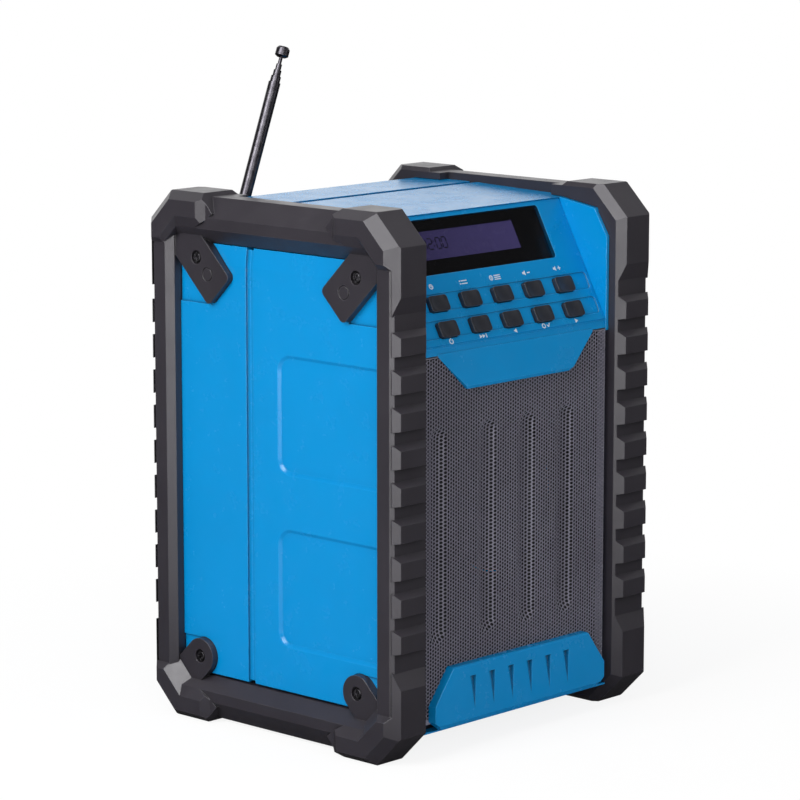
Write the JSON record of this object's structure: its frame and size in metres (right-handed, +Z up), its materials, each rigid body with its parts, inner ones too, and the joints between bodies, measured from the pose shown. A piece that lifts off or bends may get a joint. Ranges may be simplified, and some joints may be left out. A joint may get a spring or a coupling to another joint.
{
  "type": "jobsite radio",
  "caption": "Portable jobsite radio: blue cabinet between two ribbed roll-cage guards, sloping key panel with display, fluted speaker grille and telescopic antenna.",
  "frame": {"origin": "centre of the footprint of the two guards, on the ground", "axes": "+X to the right side seen from the front, +Y to the back, +Z up"},
  "size_m": [0.1452, 0.1276, 0.2506],
  "materials": {
    "blue_plastic": "satin moulded ABS",
    "charcoal_rubber": "fine-grained bumper rubber",
    "perforated_steel": "powder-coated perforated sheet",
    "screw_steel": "blackened and zinc screws",
    "lens": "smoked clear lens",
    "black_print": "black print behind the lens",
    "display": "grey-violet liquid crystal",
    "circuit_board": "green solder mask",
    "chip_plastic": "black moulded plastic",
    "basket_steel": "black pressed steel",
    "ferrite": "ferrite ring and plates",
    "soft_rubber": "soft black rubber",
    "cone_paper": "pulp cone",
    "copper": "lacquered copper wire",
    "cell_wrap": "shrink wrap",
    "cover_plastic": "black ABS",
    "antenna_chrome": "nickel-plated brass",
    "key_plastic": "charcoal key caps"
  },
  "bodies": {
    "cabinet": {"front_case": "blue_plastic", "rear_case": "blue_plastic", "control_panel": "blue_plastic", "bottom_trim": "blue_plastic", "left_guard": "charcoal_rubber", "right_guard": "charcoal_rubber", "speaker_grille": "perforated_steel", "guard_screws": "screw_steel", "case_screws": "screw_steel", "board_screws": "screw_steel", "speaker_screws": "screw_steel", "cover_screws": "screw_steel", "battery_contacts": "screw_steel", "display_lens": "lens", "lens_mask": "black_print", "lcd_module": "display", "button_board": "circuit_board", "main_board": "circuit_board", "jack_board": "circuit_board", "tact_switches": "chip_plastic", "board_chips": "chip_plastic", "power_inlet": "chip_plastic", "aux_socket": "chip_plastic", "antenna_base": "chip_plastic", "speaker_baffle": "chip_plastic", "speaker_basket": "basket_steel", "speaker_magnet": "ferrite", "speaker_surround": "soft_rubber", "battery_cells": "cell_wrap", "battery_cover": "cover_plastic"},
    "key_1": {"button_1": "key_plastic"},
    "key_2": {"button_2": "key_plastic"},
    "key_3": {"button_3": "key_plastic"},
    "key_4": {"button_4": "key_plastic"},
    "key_5": {"button_5": "key_plastic"},
    "key_6": {"button_6": "key_plastic"},
    "key_7": {"button_7": "key_plastic"},
    "key_8": {"button_8": "key_plastic"},
    "key_9": {"button_9": "key_plastic"},
    "key_10": {"button_10": "key_plastic"},
    "socket_flap": {"jack_cover": "soft_rubber"},
    "swivel": {"antenna_knuckle": "antenna_chrome", "antenna_pin": "screw_steel"},
    "mast": {"antenna_foot": "antenna_chrome", "antenna_tube_1": "antenna_chrome"},
    "section_2": {"antenna_tube_2": "antenna_chrome"},
    "section_3": {"antenna_tube_3": "antenna_chrome"},
    "section_4": {"antenna_tube_4": "antenna_chrome"},
    "tip": {"antenna_rod": "antenna_chrome", "antenna_cap": "antenna_chrome"},
    "cone": {"speaker_cone": "cone_paper", "dust_cap": "cone_paper", "voice_coil": "copper"}
  },
  "joints": [
    {"name": "key_1_press", "type": "slide", "parent": "cabinet", "child": "key_1", "axis": [0, 0.8815, -0.4722], "range_m": [0, 0.0008], "stiffness_N_per_m": 200},
    {"name": "key_2_press", "type": "slide", "parent": "cabinet", "child": "key_2", "axis": [0, 0.8815, -0.4722], "range_m": [0, 0.0008], "stiffness_N_per_m": 200},
    {"name": "key_3_press", "type": "slide", "parent": "cabinet", "child": "key_3", "axis": [0, 0.8815, -0.4722], "range_m": [0, 0.0008], "stiffness_N_per_m": 200},
    {"name": "key_4_press", "type": "slide", "parent": "cabinet", "child": "key_4", "axis": [0, 0.8815, -0.4722], "range_m": [0, 0.0008], "stiffness_N_per_m": 200},
    {"name": "key_5_press", "type": "slide", "parent": "cabinet", "child": "key_5", "axis": [0, 0.8815, -0.4722], "range_m": [0, 0.0008], "stiffness_N_per_m": 200},
    {"name": "key_6_press", "type": "slide", "parent": "cabinet", "child": "key_6", "axis": [0, 0.8815, -0.4722], "range_m": [0, 0.0008], "stiffness_N_per_m": 200},
    {"name": "key_7_press", "type": "slide", "parent": "cabinet", "child": "key_7", "axis": [0, 0.8815, -0.4722], "range_m": [0, 0.0008], "stiffness_N_per_m": 200},
    {"name": "key_8_press", "type": "slide", "parent": "cabinet", "child": "key_8", "axis": [0, 0.8815, -0.4722], "range_m": [0, 0.0008], "stiffness_N_per_m": 200},
    {"name": "key_9_press", "type": "slide", "parent": "cabinet", "child": "key_9", "axis": [0, 0.8815, -0.4722], "range_m": [0, 0.0008], "stiffness_N_per_m": 200},
    {"name": "key_10_press", "type": "slide", "parent": "cabinet", "child": "key_10", "axis": [0, 0.8815, -0.4722], "range_m": [0, 0.0008], "stiffness_N_per_m": 200},
    {"name": "socket_flap_hinge", "type": "hinge", "parent": "cabinet", "child": "socket_flap", "pos_m": [-0.02, 0.0567, 0.1206], "axis": [1, 0, 0], "range_deg": [0, 110]},
    {"name": "antenna_swivel", "type": "hinge", "parent": "cabinet", "child": "swivel", "pos_m": [-0.037, 0.0492, 0.1865], "axis": [0, 1, 0], "range_deg": [-20.9, 69.1]},
    {"name": "antenna_fold", "type": "hinge", "parent": "swivel", "child": "mast", "pos_m": [-0.037, 0.0492, 0.1865], "axis": [-0.9342, 0, 0.3567], "range_deg": [0, 90]},
    {"name": "section_2_slide", "type": "slide", "parent": "mast", "child": "section_2", "axis": [0.3567, 0, 0.9342], "range_m": [0, 0.042]},
    {"name": "section_3_slide", "type": "slide", "parent": "section_2", "child": "section_3", "axis": [0.3567, 0, 0.9342], "range_m": [0, 0.042]},
    {"name": "section_4_slide", "type": "slide", "parent": "section_3", "child": "section_4", "axis": [0.3567, 0, 0.9342], "range_m": [0, 0.042]},
    {"name": "tip_slide", "type": "slide", "parent": "section_4", "child": "tip", "axis": [0.3567, 0, 0.9342], "range_m": [0, 0.042]},
    {"name": "cone_stroke", "type": "slide", "parent": "cabinet", "child": "cone", "axis": [0, -1, 0], "range_m": [-0.0015, 0.0015], "stiffness_N_per_m": 900}
  ]
}
